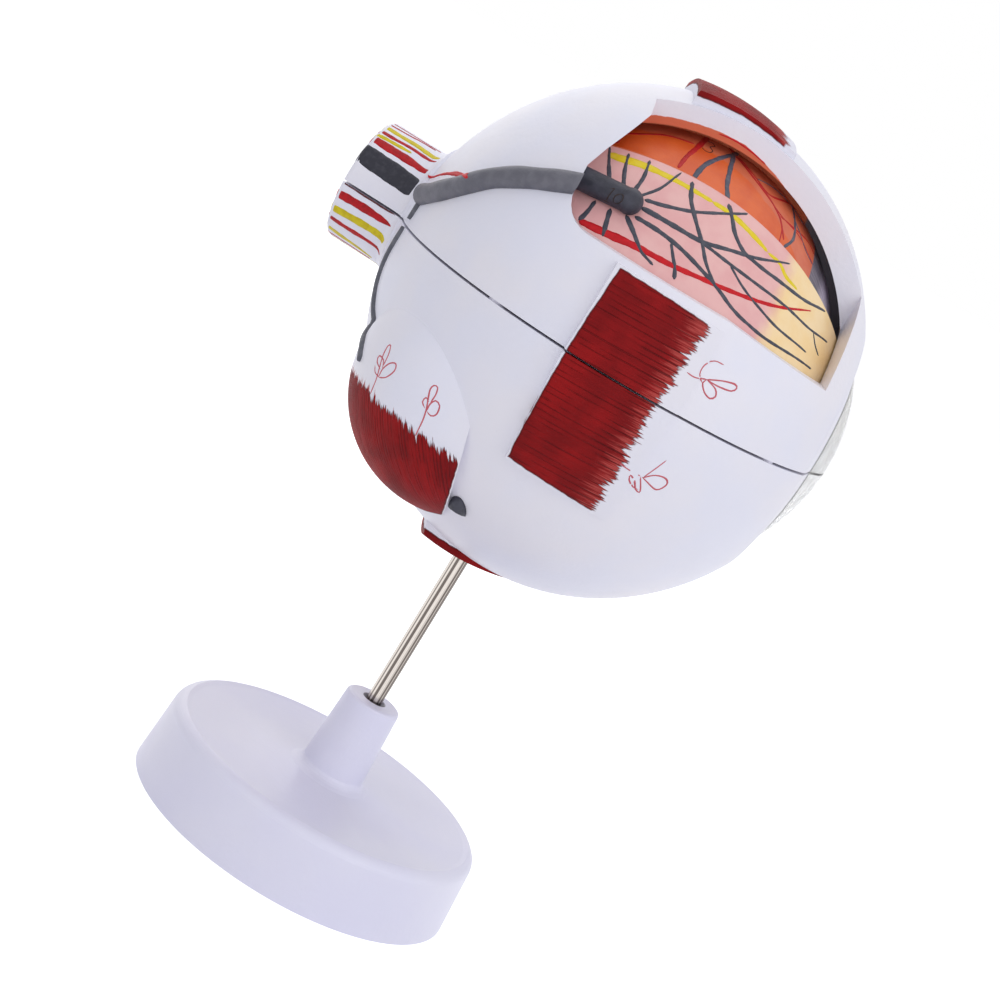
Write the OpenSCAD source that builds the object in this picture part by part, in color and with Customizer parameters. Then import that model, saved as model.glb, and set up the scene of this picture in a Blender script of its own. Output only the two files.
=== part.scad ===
// Take-apart model of a right eye on a rod and a round base.
// Frame: +Z up along the rod, cornea towards -Y, optic nerve towards +Y, lateral side towards -X, origin under the rod on the table.

/* [Globe] */
// Outside height (and side-to-side width) of the globe
globe_height = 84; // [74:1:96]
// Outside depth of the globe from front to back, without cornea and nerve
globe_depth = 79; // [72:1:88]
// Wall of the white outer shell
sclera_wall = 3.6; // [3.2:0.1:4.2]
// Wall of the pink middle shell
choroid_wall = 1.6; // [1.3:0.1:2.0]
// Wall of the orange inner shell
retina_wall = 1.8; // [1.5:0.1:2.2]
// Space between shells that lift apart
shell_gap = 0.3; // [0.25:0.05:0.4]
// Open joint between the upper and the lower half
seam_gap = 0.4; // [0.2:0.05:0.5]

/* [Front of the eye] */
// Diameter of the cornea where it meets the sclera
cornea_diameter = 34.8; // [32:0.4:37]
// How far the cornea stands in front of its rim
cornea_bulge = 5.4; // [4.8:0.2:6.4]
// Wall of the clear cornea
cornea_wall = 1.6; // [1.2:0.1:2.0]
// Diameter of the pupil
pupil_diameter = 12; // [8:1:16]
// Diameter of the lens
lens_diameter = 24.4; // [20:0.4:27]
// Thickness of the lens
lens_thickness = 10; // [8:0.5:11]

/* [Cutaway window] */
// Height of the window's lower edge above the seam
window_sill = 15.4; // [13:0.2:18]
// Distance from the globe's centre to the window's front end
window_front = 28; // [24:0.5:29]
// Distance from the globe's centre to the window's rear end
window_rear = 20.6; // [17:0.2:22]
// Distance from the midplane to the window's top edge
window_top_side = 11.6; // [11.4:0.2:16]

/* [Optic nerve] */
// Outside diameter of the nerve stub
nerve_diameter = 21.2; // [17:0.2:23]
// Distance from the globe's centre to the nerve's end face
nerve_reach = 49.6; // [47:0.2:54]
// Angle of the nerve towards the nose
nerve_angle = 14; // [8:0.5:20]

/* [Muscles and veins] */
// Height of the side muscles' pads above the globe at their middle
muscle_relief = 1.0; // [0.8:0.1:1.5]
// Height of the upper straight muscle's pad
upper_muscle_relief = 1.5; // [1.0:0.1:1.8]
// Height of the lower straight muscle's pad
lower_muscle_relief = 0.8; // [0.6:0.1:1.4]
// Width of the upper and the lower straight muscle
muscle_width = 22; // [18:0.5:22.4]
// Lean of the lower oblique muscle's front cut
cut_lean = 16; // [10:1:22]
// Diameter of the raised vein on the upper half
vein_diameter = 3.6; // [2.8:0.2:4.2]

/* [Stand] */
// Height of the seam above the table
seam_height = 100; // [92:1:120]
// Diameter of the base at the table
base_diameter = 59.4; // [54:0.2:72]
// Height of the base without its post
base_height = 13; // [11:0.5:16]
// Diameter of the post at its top
post_diameter = 9.9; // [8.5:0.1:12]
// Height of the post above the base
post_height = 15; // [12:0.5:18]
// Diameter of the steel rod
rod_diameter = 2.8; // [2.4:0.1:3.4]

/* [Hidden] */
$fn = 96;
k = globe_height / 84;           // scale across the globe
ky = globe_depth / 79;           // scale from front to back
av = globe_height / 2;           // outside half height
ay = globe_depth / 2;            // outside half depth
centre = [0, -2.8 * ky, seam_height];
far = 70 * k;
d_choroid = sclera_wall + shell_gap;            // depth of each shell's outside below the globe's outside
d_retina = d_choroid + choroid_wall;
d_inside = d_retina + retina_wall;
d_vitreous = d_inside + shell_gap;
half_seam = seam_gap / 2;
fit = 0.05;                      // radial running fit

limbus_r = cornea_diameter / 2;
// the cornea's rim plane, a little behind where the plain globe would have it
limbus_y = -ay * sqrt(1 - pow(limbus_r / av, 2)) + 1.2 * ky;
cornea_r = (limbus_r * limbus_r + cornea_bulge * cornea_bulge) / (2 * cornea_bulge);
cornea_cy = limbus_y - cornea_bulge + cornea_r;
bore_r = limbus_r - 1.8 * k;
taper_slope = 3.13 * k / ky;
uvea_front = -30 * ky;           // front end of the pink shell
iris_t = 1.2 * k;
ora_y = -18.4 * ky;              // where the orange shell ends and the dark ring starts
ciliary_front = -28.4 * ky;
iris_r = av * 0.44;
lens_r = lens_diameter / 2;
lens_front_h = lens_thickness * 0.4;
lens_rear_h = lens_thickness * 0.6;
lens_rf = (pow(lens_r + 0.3, 2) + pow(lens_front_h, 2)) / (2 * lens_front_h);
lens_rr = (pow(lens_r + 0.3, 2) + pow(lens_rear_h, 2)) / (2 * lens_rear_h);
lens_y = -22 * ky;
vitreous_front = lens_y + 0.8;

nerve_r = nerve_diameter / 2;
nerve_core_r = nerve_r * 0.56;
nerve_rise = 0.8 * k;
nerve_fillet = 2.2 * k;
nerve_root = ay * 0.962;

rod_r = rod_diameter / 2;
rod_foot = 3.2;
rod_top = seam_height - av * sqrt(1 - pow(centre[1] / ay, 2)) + sclera_wall - 0.9;
post_r = post_diameter / 2;
base_r = base_diameter / 2;
rim_round = 2.2;
side_draft = 0.075;
window_corner = 4.4 * k;
// place (Y, Z) of the lower oblique muscle's front cut, and the height where its red part meets its white root
cut_at = [15.8 * ky, -19 * k];
red_top = -22.4 * k;
function cut_y(z) = cut_at[0] + (z - cut_at[1]) * tan(cut_lean);
// the pink shell's own opening, a little larger than the window, with a rim left at its front
uvea_open_front = max(-window_front - 0.6 * ky, uvea_front + 1.2 * ky);
uvea_open_side = window_top_side - 6.2 * k;
pin_r = 0.9;
pin_seat = 2.2;
pin_rise = 2.4;

// ---------- helpers, all in the globe's own frame unless they say so ----------
module at_centre() translate(centre) children();
// the globe's outside, moved inwards (depth > 0) or outwards (depth < 0)
module globe(depth = 0) scale([1, (ay - depth) / (av - depth), 1]) sphere(r = av - depth);
module above() translate([-far, -far, half_seam]) cube([2 * far, 2 * far, far]);
module below() translate([-far, -far, -half_seam - far]) cube([2 * far, 2 * far, far]);
// a disc or ring along Y from y0 to y1
module tube_y(r, y0, y1) translate([0, y0, 0]) rotate([-90, 0, 0]) cylinder(r = r, h = y1 - y0);
module in_nerve() translate([0, 0, nerve_rise]) rotate([0, 0, -nerve_angle]) rotate([-90, 0, 0]) children();

// a profile in (Y, Z) drawn as 2D (x, y), extruded along X from x0 to x1
module along_x(x0, x1) translate([x0, 0, 0]) rotate([90, 0, 90]) linear_extrude(height = x1 - x0) children();

// ---------- stand ----------
function arc(cx, cy, r, a0, a1, n) = [for (i = [0:n]) [cx + r * cos(a0 + (a1 - a0) * i / n), cy + r * sin(a0 + (a1 - a0) * i / n)]];

module base() {
    top_r = base_r - side_draft * (base_height - rim_round);
    rim_c = top_r - rim_round;
    foot_r = post_r + 2.4;
    dish = 0.9;
    wall = 2.2;
    ceiling = base_height - dish - wall;
    post_top = base_height + post_height;
    color([0.86, 0.85, 0.92])
    rotate_extrude()
    polygon(concat(
        [[base_r - wall, 0], [base_r, 0]],
        arc(rim_c, base_height - rim_round, rim_round, 0, 78, 7),
        [for (i = [0:9]) let(t = i / 9, r = rim_c - 0.4 - t * (rim_c - 0.4 - foot_r)) [r, base_height - 0.12 - dish * sin(180 * min(1, 0.06 + t * 0.94))]],
        arc(foot_r + 0.1, base_height + 1.9, 1.9, 255, 195, 4),
        [[post_r, post_top - 0.6], [post_r - 0.2, post_top - 0.2], [post_r - 0.6, post_top],
         [rod_r + 0.75, post_top], [rod_r + fit, post_top - 0.9], [rod_r + fit, rod_foot - 0.1],
         [0, rod_foot - 0.1], [0, 1],
         [post_r + 0.4, 1], [post_r + 0.6, ceiling], [base_r - wall - 3.4, ceiling], [base_r - wall - 1.4, ceiling - 1.6]]));
}

module support_rod() {
    h = rod_top - rod_foot;
    color([0.72, 0.71, 0.68])
    translate([0, 0, rod_foot])
    rotate_extrude()
    polygon([[0, 0], [rod_r - 0.3, 0], [rod_r, 0.3], [rod_r, h - 0.3], [rod_r - 0.3, h], [0, h]]);
}

module rod_socket() translate([0, -centre[1], -av - 8]) cylinder(r = rod_r + fit, h = 8 + av + rod_top - seam_height + 0.12);

// ---------- white outer shell ----------
module front_limit() union() {
    translate([0, limbus_y, 0]) rotate([-90, 0, 0]) cylinder(r1 = limbus_r, r2 = limbus_r + 12 * ky * taper_slope, h = 12 * ky);
    tube_y(limbus_r + 12 * ky * taper_slope, limbus_y + 12 * ky, far);
}

module sclera_shell() difference() {
    intersection() {
        globe();
        front_limit();
    }
    globe(sclera_wall);
    tube_y(bore_r, limbus_y - 2, limbus_y + 6);
    in_nerve() cylinder(r = nerve_core_r, h = nerve_root + 4);
}

module window_cut() along_x(-far, -window_top_side)
    polygon(concat(
        [[-window_front, window_sill - 2.4 * k], [-8 * ky, window_sill - 0.1 * k]],
        arc(window_rear - window_corner, window_sill + window_corner, window_corner, -90, 0, 6),
        [[window_rear, window_sill + 8.2 * k], [window_rear - 1.4 * ky, window_sill + 11.6 * k], [window_rear - 5.1 * ky, window_sill + 19 * k],
         [window_rear - 5.1 * ky, far], [-window_front, far]]));

// the lower oblique muscle swells out of the globe as part of a smaller ball
module swelling() translate([-15 * k, 16.7 * ky, -17.4 * k]) sphere(r = 18.9 * k);
// what lies behind the muscle's leaning front cut
module behind_cut() translate([-far, cut_at[0], cut_at[1]]) rotate([-cut_lean, 0, 0]) translate([0, 0, -far]) cube([2 * far, far, far + 17 * k]);

pin_places = [[-0.81, 0.583], [-0.75, -0.66], [0.75, -0.66], [0.81, 0.583]];
function pin_at(i) = [pin_places[i][0] * (av - sclera_wall / 2), pin_places[i][1] * (ay - sclera_wall / 2), 0];

module sclera_lower() at_centre() color([0.90, 0.90, 0.95])
    difference() {
        union() {
            intersection() {
                sclera_shell();
                below();
            }
            // white root of the lower oblique muscle
            intersection() {
                difference() {
                    swelling();
                    globe(0.6);
                }
                behind_cut();
                translate([-far, -far, red_top]) cube([2 * far, 2 * far, 20 * k]);
            }
        }
        rod_socket();
        for (i = [0:3]) translate(pin_at(i) - [0, 0, pin_seat + half_seam]) cylinder(r = pin_r, h = pin_seat + 1);
    }

module sclera_upper() at_centre() color([0.90, 0.90, 0.95])
    difference() {
        intersection() {
            sclera_shell();
            above();
        }
        window_cut();
        for (i = [0:3]) translate(pin_at(i)) cylinder(r = pin_r + fit, h = pin_rise + half_seam + 0.4);
    }

module locating_pins() at_centre() color([0.83, 0.83, 0.88])
    for (i = [0:3]) translate(pin_at(i) - [0, 0, pin_seat + half_seam]) {
        cylinder(r = pin_r, h = pin_seat + seam_gap + pin_rise);
        translate([0, 0, pin_seat]) cylinder(r = pin_r + 0.5, h = seam_gap - 0.02);
    }

// ---------- cornea ----------
module cornea_dome() difference() {
    union() {
        intersection() {
            translate([0, cornea_cy, 0]) sphere(r = cornea_r);
            tube_y(limbus_r - 0.02, limbus_y - cornea_bulge - 2, limbus_y);
        }
        tube_y(bore_r - 0.02, limbus_y - 0.3 * k, limbus_y + 1.5 * k);
    }
    translate([0, cornea_cy, 0]) sphere(r = cornea_r - cornea_wall);
}

module cornea_lower() at_centre() color([0.85, 0.90, 0.93, 0.5]) intersection() { cornea_dome(); below(); }
module cornea_upper() at_centre() color([0.85, 0.90, 0.93, 0.5]) intersection() { cornea_dome(); above(); }

// ---------- optic nerve ----------
module nerve_body() difference() {
    union() {
        in_nerve() rotate_extrude() polygon([[0, nerve_root - 8], [nerve_r, nerve_root - 8], [nerve_r, nerve_reach - 0.6], [nerve_r - 0.2, nerve_reach - 0.2], [nerve_r - 0.6, nerve_reach], [0, nerve_reach]]);
        in_nerve() rotate_extrude() difference() {
            translate([nerve_r - 1, nerve_root - 4]) square([nerve_fillet + 0.6, nerve_fillet + 3.6]);
            translate([nerve_r + nerve_fillet, nerve_root + nerve_fillet]) circle(r = nerve_fillet);
        }
    }
    globe();
    in_nerve() cylinder(r = nerve_core_r, h = nerve_reach + 2);
}
module nerve_core() difference() {
    in_nerve() cylinder(r = nerve_core_r, h = nerve_reach + 0.4);
    globe(sclera_wall);
}

module nerve_sheath_lower() at_centre() color([0.90, 0.89, 0.93]) intersection() { nerve_body(); below(); }
module nerve_sheath_upper() at_centre() color([0.90, 0.89, 0.93]) intersection() { nerve_body(); above(); }
module optic_nerve_lower() at_centre() color([0.93, 0.80, 0.35]) intersection() { nerve_core(); below(); }
module optic_nerve_upper() at_centre() color([0.93, 0.80, 0.35]) intersection() { nerve_core(); above(); }

// ---------- muscles ----------
red = [0.62, 0.10, 0.12];
// a muscle's outside is the globe's, raised and moved back, so each pad is thickest at its rear end
module pad(relief = muscle_relief, back = 2.6 * ky) difference() {
    intersection() {
        translate([0, back, 0]) globe(-relief);
        children();
    }
    globe();
}
side_pad = [[10.6 * ky, 14.5 * k], [-8.2 * ky, 13.7 * k], [-8.2 * ky, -19.6 * k], [9.6 * ky, -18.7 * k], [11.0 * ky, -1 * k]];

module lateral_rectus_upper() at_centre() color(red) intersection() { pad() along_x(-far, -10 * k) polygon(side_pad); above(); }
module lateral_rectus_lower() at_centre() color(red) intersection() { pad() along_x(-far, -10 * k) polygon(side_pad); below(); }
module medial_rectus_upper() at_centre() color(red) intersection() { pad() along_x(10 * k, far) translate([-2 * ky, 0]) polygon(side_pad); above(); }
module medial_rectus_lower() at_centre() color(red) intersection() { pad() along_x(10 * k, far) translate([-2 * ky, 0]) polygon(side_pad); below(); }
module straight_pad() along_x(-muscle_width / 2, muscle_width / 2) children();
module superior_rectus() at_centre() color(red) pad(upper_muscle_relief, 3 * ky) straight_pad()
    polygon([[-7.6 * ky, 10 * k], [10.4 * ky, 10 * k], [10.4 * ky, 40.4 * k], [8.4 * ky, far], [-7.6 * ky, far]]);
module inferior_rectus() at_centre() color(red) difference() {
    pad(lower_muscle_relief, 5 * ky) straight_pad()
        polygon([[-7.6 * ky, -10 * k], [12.2 * ky, -10 * k], [12.2 * ky, -38 * k], [11.3 * ky, -40.8 * k], [9.6 * ky, -far], [-7.6 * ky, -far]]);
    rod_socket();
}
module superior_oblique() at_centre() color(red) pad() translate([31 * k, 13 * ky, 16 * k]) rotate([0, 0, 28]) translate([-7 * k, -9 * ky, 0]) cube([13 * k, 19 * ky, far]);
module inferior_oblique() at_centre() color(red) difference() {
    intersection() {
        swelling();
        behind_cut();
        translate([-far, -far, red_top - far]) cube([2 * far, 2 * far, far]);
    }
    globe();
}

// ---------- veins ----------
slate = [0.25, 0.27, 0.32];
function mm(p) = [p[0] * k, p[1] * ky, p[2] * k];
vein_path = [mm([-5.4, 39.4, 5.0]), mm([-11.2, 38.3, 6.5]), mm([-17.4, 35.4, 10.0]), mm([-22.8, 30.8, 15.0]), mm([-27.6, 25.0, 18.7]), mm([-31.0, 19.2, 21.6])];
// stub of a vein beside the lower oblique muscle's front cut
dome_r = 1.75 * k;
dome_z = -31.3 * k;
dome_y = cut_y(dome_z) - dome_r / cos(cut_lean) - 0.1;
dome_at = [-av * sqrt(1 - pow(dome_z / av, 2) - pow(dome_y / ay, 2)), dome_y, dome_z];
dome_v = [dome_at[0] / (av * av), dome_at[1] / (ay * ay), dome_at[2] / (av * av)];
dome_n = dome_v / norm(dome_v);
inner_path = [mm([-24.4, 21.8, 21.2]), mm([-29.45, 12.7, 22.35])];

// a straight round bar from a to b
module bar(a, b, r) {
    v = b - a;
    h = norm(v);
    translate(a) rotate([0, acos(v[2] / h), atan2(v[1], v[0])]) cylinder(r = r, h = h);
}
// bars end to end, with slightly thicker balls over the joints
module vein_chain(path, r) {
    for (i = [0:len(path) - 2]) bar(path[i], path[i + 1], r);
    for (p = path) translate(p) sphere(r = r + 0.15, $fn = 48);
}
// a plain ball that touches the globe (or a shell inside it) along the ring at radius rho: stands in for it under a small part
module ball_at(rho, depth = 0) {
    a = av - depth;
    b = ay - depth;
    y0 = b * sqrt(1 - pow(rho / a, 2));
    yc = y0 * (1 - a * a / (b * b));
    translate([0, yc, 0]) sphere(r = norm([rho, y0 - yc]), $fn = 360);
}
// ends flush with the window's rear wall
module vortex_vein_upper() at_centre() color(slate) difference() {
    vein_chain(vein_path, vein_diameter / 2);
    ball_at(25 * k);
    translate([-far, window_rear - 2 * far, -far]) cube(2 * far);
}
// runs on from the window's rear wall and ends over the pink shell, but rides with the white half
module vortex_vein_inner() at_centre() color(slate) difference() {
    vein_chain(inner_path, vein_diameter / 2 + 0.1);
    ball_at(35.6 * k, d_choroid - shell_gap);
    translate([-far, window_rear - 0.12, -far]) cube(2 * far);
}
// a low dome on the surface, square to it, cut level underneath
module vortex_vein_lower() at_centre() color(slate) difference() {
    translate(dome_at) rotate([0, acos(dome_n[2]), atan2(dome_n[1], dome_n[0])]) rotate_extrude() intersection() {
        circle(r = dome_r);
        translate([0, 0.05]) square(2 * dome_r);
    }
    translate([-far, -far, dome_z - 0.3 * k - 2 * far]) cube(2 * far);
}

// ---------- pink middle shell ----------
module choroid_shell() difference() {
    globe(d_choroid);
    globe(d_retina);
    translate([-far, uvea_front - 2 * far, -far]) cube([2 * far, 2 * far, 2 * far]);
}
module choroid_lower() at_centre() color([0.91, 0.66, 0.65]) intersection() { choroid_shell(); below(); }
module choroid_upper() at_centre() color([0.91, 0.66, 0.65]) difference() {
    intersection() { choroid_shell(); above(); }
    along_x(-far, -uvea_open_side) difference() {
        translate([uvea_open_front, 5 * k]) square([window_rear + 3.4 * ky - uvea_open_front, 60 * k]);
        translate([2.3 * ky, -19.7 * k]) circle(r = 49.7 * k);
    }
}

// ---------- orange inner shell and dark ring ----------
module retina_shell() difference() {
    globe(d_retina);
    globe(d_inside);
    translate([-far, ora_y - 2 * far, -far]) cube([2 * far, 2 * far, 2 * far]);
}
module ciliary_shell() difference() {
    intersection() {
        globe(d_retina);
        translate([-far, ciliary_front, -far]) cube([2 * far, ora_y - ciliary_front, 2 * far]);
    }
    globe(d_inside);
}
module retina_lower() at_centre() color([0.88, 0.40, 0.20]) intersection() { retina_shell(); below(); }
module retina_upper() at_centre() color([0.88, 0.40, 0.20]) intersection() { retina_shell(); above(); }
module ciliary_ring_lower() at_centre() color([0.27, 0.26, 0.30]) intersection() { ciliary_shell(); below(); }
module ciliary_ring_upper() at_centre() color([0.27, 0.26, 0.30]) intersection() { ciliary_shell(); above(); }

// ---------- iris, lens, vitreous body ----------
module iris_disc() translate([0, uvea_front, 0]) rotate([90, 0, 0]) rotate_extrude()
    polygon([[pupil_diameter / 2, 0.4], [pupil_diameter / 2 + 2, 0], [iris_r, 0], [iris_r, iris_t - 0.4], [iris_r - 0.6, iris_t],
             [pupil_diameter / 2 + 3, iris_t + 0.1], [pupil_diameter / 2 + 1, iris_t], [pupil_diameter / 2, iris_t - 0.3]]);
module iris_lower() at_centre() color([0.36, 0.24, 0.15]) intersection() { iris_disc(); below(); }
module iris_upper() at_centre() color([0.36, 0.24, 0.15]) intersection() { iris_disc(); above(); }

module lens() at_centre() color([0.88, 0.92, 0.95, 0.6]) intersection() {
    translate([0, lens_y - lens_front_h + lens_rf, 0]) sphere(r = lens_rf);
    translate([0, lens_y + lens_rear_h - lens_rr, 0]) sphere(r = lens_rr);
    tube_y(lens_r, lens_y - lens_thickness, lens_y + lens_thickness);
}

module vitreous_body() at_centre() color([0.85, 0.92, 0.95, 0.5]) difference() {
    rotate([-90, 0, 0]) scale([1, 1, (ay - d_vitreous) / (av - d_vitreous)]) sphere(r = av - d_vitreous);
    translate([-far, vitreous_front - 2 * far, -far]) cube([2 * far, 2 * far, 2 * far]);
    translate([0, lens_y + lens_rear_h - lens_rr, 0]) rotate([-90, 0, 0]) sphere(r = lens_rr + 0.3);
}

base();
support_rod();
sclera_lower();
cornea_lower();
nerve_sheath_lower();
optic_nerve_lower();
lateral_rectus_lower();
medial_rectus_lower();
inferior_rectus();
inferior_oblique();
vortex_vein_lower();
locating_pins();
sclera_upper();
cornea_upper();
nerve_sheath_upper();
optic_nerve_upper();
lateral_rectus_upper();
medial_rectus_upper();
superior_rectus();
superior_oblique();
vortex_vein_upper();
choroid_lower();
retina_lower();
ciliary_ring_lower();
iris_lower();
choroid_upper();
retina_upper();
ciliary_ring_upper();
iris_upper();
vortex_vein_inner();
vitreous_body();
lens();
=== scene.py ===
"""Looks of the take-apart eye model: materials, painted vessels and stripes, camera, light and floor."""
import math
import random

import bpy
from mathutils import Matrix, Vector
from mathutils.bvhtree import BVHTree


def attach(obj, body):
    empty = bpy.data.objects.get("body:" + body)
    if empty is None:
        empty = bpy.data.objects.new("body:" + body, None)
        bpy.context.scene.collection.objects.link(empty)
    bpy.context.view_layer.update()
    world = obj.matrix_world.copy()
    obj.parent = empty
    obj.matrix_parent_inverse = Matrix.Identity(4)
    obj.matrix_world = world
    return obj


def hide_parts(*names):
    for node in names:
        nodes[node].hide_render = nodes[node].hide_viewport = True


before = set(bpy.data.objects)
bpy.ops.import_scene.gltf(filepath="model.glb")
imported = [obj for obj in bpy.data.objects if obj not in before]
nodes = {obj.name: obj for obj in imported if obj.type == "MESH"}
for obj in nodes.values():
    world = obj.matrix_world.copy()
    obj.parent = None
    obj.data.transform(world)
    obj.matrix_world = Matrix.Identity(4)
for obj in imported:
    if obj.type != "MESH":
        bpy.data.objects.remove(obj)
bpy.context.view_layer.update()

# ---------------------------------------------------------------- measures, in millimetres
MM = 0.001
GLOBE = Vector((0, -2.8, 100))  # the globe's centre
AXES = Vector((42.0, 39.5, 42.0))  # half the globe's width, length and height
MEAN_R = 41.0  # a radius between them, which turns a share of the globe into millimetres
PINK_AXES = Vector((38.1, 35.6, 38.1))  # the same of the pink shell's outside
WINDOW_X, WINDOW_REAR = -11.6, 20.6  # the planes of the window's upper wall and of its rear wall
NERVE_TILT = math.radians(14)
NERVE_AXIS = Vector((math.sin(NERVE_TILT), math.cos(NERVE_TILT), 0))
NERVE_RISE, NERVE_R = 0.8, 10.6  # the stub's height above the globe's centre, and its radius
NERVE_BEVEL, NERVE_END = 49.0, 50.2  # along its axis: the start of its end's bevel, and just past the cores

# ---------------------------------------------------------------- camera, at the photograph's angle
PHI, PITCH, ROLL = math.radians(7), math.radians(10.86), math.radians(31.5)
DISTANCE, SIDE, HEIGHT = 382.8, -0.45, 141.6  # the camera's place before its turn about the rod
PICTURE_PX, MIDDLE_PX, FOCAL_PX = 1000, 499.5, 2376.0
SENSOR = 36
turn = Matrix.Rotation(-PHI, 3, "Z")
eye = turn @ Vector((-DISTANCE, SIDE, HEIGHT))
forward = turn @ Vector((math.cos(PITCH), 0, -math.sin(PITCH)))
level_right = turn @ Vector((0, -1, 0))
level_up = turn @ Vector((math.sin(PITCH), 0, math.cos(PITCH)))
# The whole model leans clockwise in the picture.
right = level_right * math.cos(ROLL) + level_up * math.sin(ROLL)
up = level_up * math.cos(ROLL) - level_right * math.sin(ROLL)

camera = bpy.data.objects.new("camera", bpy.data.cameras.new("camera"))
bpy.context.scene.collection.objects.link(camera)
camera.matrix_world = Matrix.Translation(eye * MM) @ Matrix((right, up, -forward)).transposed().to_4x4()
camera.data.sensor_width = SENSOR
camera.data.lens = FOCAL_PX * SENSOR / PICTURE_PX
camera.data.clip_start = 0.01
camera.data.clip_end = 20
bpy.context.scene.camera = camera


def ray(x, y):
    """Direction from the camera through a point of the 1000 x 1000 photograph."""
    sideways = right * ((x - MIDDLE_PX) / FOCAL_PX)
    downwards = up * ((y - MIDDLE_PX) / FOCAL_PX)
    return (forward + sideways - downwards).normalized()


# ---------------------------------------------------------------- node materials
def colour(r, g, b):
    """A display colour as the linear values that a shader takes."""
    return tuple(c / 12.92 if c <= 0.04045 else ((c + 0.055) / 1.055) ** 2.4 for c in (r, g, b)) + (1,)


class Value:
    """A number in a node graph, so that a pattern can be written as arithmetic."""

    def __init__(self, graph, socket):
        self.graph, self.socket = graph, socket

    def op(self, kind, *others):
        return self.graph.math(kind, self, *others)

    def __add__(self, other):
        return self.op("ADD", other)

    def __radd__(self, other):
        return self.op("ADD", other)

    def __sub__(self, other):
        return self.op("SUBTRACT", other)

    def __rsub__(self, other):
        return self.graph.math("SUBTRACT", other, self)

    def __mul__(self, other):
        return self.op("MULTIPLY", other)

    def __rmul__(self, other):
        return self.op("MULTIPLY", other)

    def __truediv__(self, other):
        return self.op("DIVIDE", other)

    def __neg__(self):
        return self.op("MULTIPLY", -1)


class Graph:
    """A Principled material and its node graph, whose coordinates are millimetres from the origin given."""

    def __init__(self, name, origin=GLOBE, **plain):
        self.material = bpy.data.materials.new(name)
        self.material.use_nodes = True
        self.tree = self.material.node_tree
        self.tree.nodes.clear()
        self.shader = self.tree.nodes.new("ShaderNodeBsdfPrincipled")
        out = self.tree.nodes.new("ShaderNodeOutputMaterial")
        self.tree.links.new(self.shader.outputs[0], out.inputs[0])
        where = self.tree.nodes.new("ShaderNodeTexCoord")
        place = self.tree.nodes.new("ShaderNodeMapping")
        place.vector_type = "POINT"
        place.inputs["Scale"].default_value = (1000, 1000, 1000)
        place.inputs["Location"].default_value = tuple(-v for v in origin)
        self.tree.links.new(where.outputs["Object"], place.inputs[0])
        self.point = place.outputs[0]
        split = self.tree.nodes.new("ShaderNodeSeparateXYZ")
        self.tree.links.new(self.point, split.inputs[0])
        self.x, self.y, self.z = (Value(self, s) for s in split.outputs)
        for key, value in plain.items():
            self.shader.inputs[key.replace("_", " ")].default_value = value

    def put(self, socket, value):
        if isinstance(value, Value):
            self.tree.links.new(value.socket, socket)
        else:
            socket.default_value = value

    def math(self, kind, *terms):
        n = self.tree.nodes.new("ShaderNodeMath")
        n.operation = kind
        for i, t in enumerate(terms):
            self.put(n.inputs[i], t)
        return Value(self, n.outputs[0])

    def step(self, value, low, high):
        """0 below low, 1 above high, smooth between."""
        n = self.tree.nodes.new("ShaderNodeMapRange")
        n.interpolation_type = "SMOOTHSTEP"
        self.put(n.inputs[0], value)
        self.put(n.inputs[1], low)
        self.put(n.inputs[2], high)
        return Value(self, n.outputs[0])

    def vector(self, x, y, z):
        n = self.tree.nodes.new("ShaderNodeCombineXYZ")
        for i, t in enumerate((x, y, z)):
            self.put(n.inputs[i], t)
        return Value(self, n.outputs[0])

    def noise(self, scale, detail=3, at=None, rough=0.5):
        n = self.tree.nodes.new("ShaderNodeTexNoise")
        n.inputs["Scale"].default_value = 1
        n.inputs["Detail"].default_value = detail
        n.inputs["Roughness"].default_value = rough
        m = self.tree.nodes.new("ShaderNodeMapping")
        m.inputs["Scale"].default_value = (scale, scale, scale)
        self.tree.links.new(at.socket if at else self.point, m.inputs[0])
        self.tree.links.new(m.outputs[0], n.inputs["Vector"])
        return Value(self, n.outputs["Fac"])

    def mix(self, share, a, b):
        n = self.tree.nodes.new("ShaderNodeMix")
        n.data_type = "RGBA"
        self.put(n.inputs[0], share)
        self.put(n.inputs[6], a)
        self.put(n.inputs[7], b)
        return Value(self, n.outputs[2])

    def finish(self, base, roughness, height, depth):
        """Feeds the shader. The depth, in millimetres, is what a height of 1 stands for."""
        self.put(self.shader.inputs["Base Color"], base)
        self.put(self.shader.inputs["Roughness"], roughness)
        bump = self.tree.nodes.new("ShaderNodeBump")
        bump.inputs["Strength"].default_value = 1
        bump.inputs["Distance"].default_value = depth * MM
        self.put(bump.inputs["Height"], height)
        self.tree.links.new(bump.outputs[0], self.shader.inputs["Normal"])
        return self.material

    def share(self, axes):
        """Distance from the centre as a share of an ellipsoid's: 1 on its surface."""
        a, b, c = self.x / axes.x, self.y / axes.y, self.z / axes.z
        return (a * a + b * b + c * c).op("SQRT")

    def lift(self):
        """Height above the globe's outside, near the surface."""
        return (self.share(AXES) - 1) * MEAN_R


WHITE = colour(0.905, 0.905, 0.955)
WHITE_WARM = colour(0.925, 0.915, 0.945)
RED, RED_DARK, RED_DRY = colour(0.60, 0.075, 0.085), colour(0.46, 0.045, 0.06), colour(0.75, 0.32, 0.30)
RED_LINE = colour(0.30, 0.02, 0.035)
SLATE, SLATE_LIGHT = colour(0.20, 0.20, 0.24), colour(0.30, 0.30, 0.345)


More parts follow.
